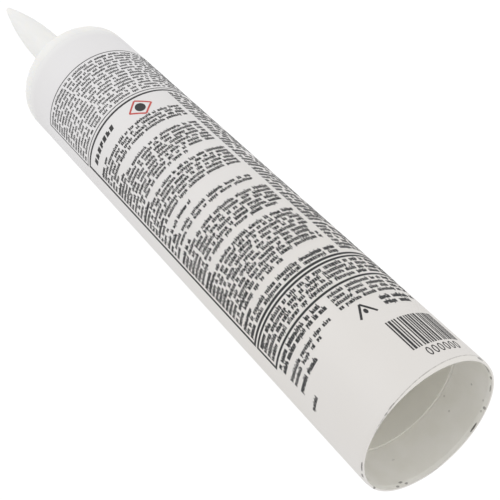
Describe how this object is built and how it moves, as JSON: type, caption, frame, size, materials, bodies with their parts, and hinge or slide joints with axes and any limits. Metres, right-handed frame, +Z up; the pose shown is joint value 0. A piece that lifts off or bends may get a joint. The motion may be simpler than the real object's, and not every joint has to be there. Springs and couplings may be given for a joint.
{
  "type": "caulk tube",
  "caption": "Caulk tube: a round plastic cartridge with a closed tapered nozzle at the head, open at the rear, with a cup plunger that slides up the bore.",
  "frame": {"origin": "centre of the rear rim's plane, which the tube stands on", "axes": "+Z up the tube's axis, from the open rear rim to the nozzle tip; -Y is the side with the main print panel"},
  "size_m": [0.0494, 0.0494, 0.2984],
  "materials": {
    "barrel_plastic": "extruded white polyethylene, satin, printed directly",
    "nozzle_plastic": "moulded natural polyethylene, satin, slightly translucent",
    "seal_foil": "thin bonded foil",
    "plunger_plastic": "moulded natural polyethylene, satin",
    "black_ink": "black printing ink on the barrel",
    "red_ink": "red printing ink on the barrel",
    "sealant_paste": "soft paste"
  },
  "bodies": {
    "tube": {"barrel": "barrel_plastic", "nozzle_head": "nozzle_plastic", "inner_seal": "seal_foil", "sealant": "sealant_paste"},
    "plunger": {"plunger": "plunger_plastic"}
  },
  "joints": [
    {"name": "plunger_slide", "type": "slide", "parent": "tube", "child": "plunger", "axis": [0, 0, 1], "range_m": [0, 0.1765], "deforming": ["sealant"]}
  ]
}
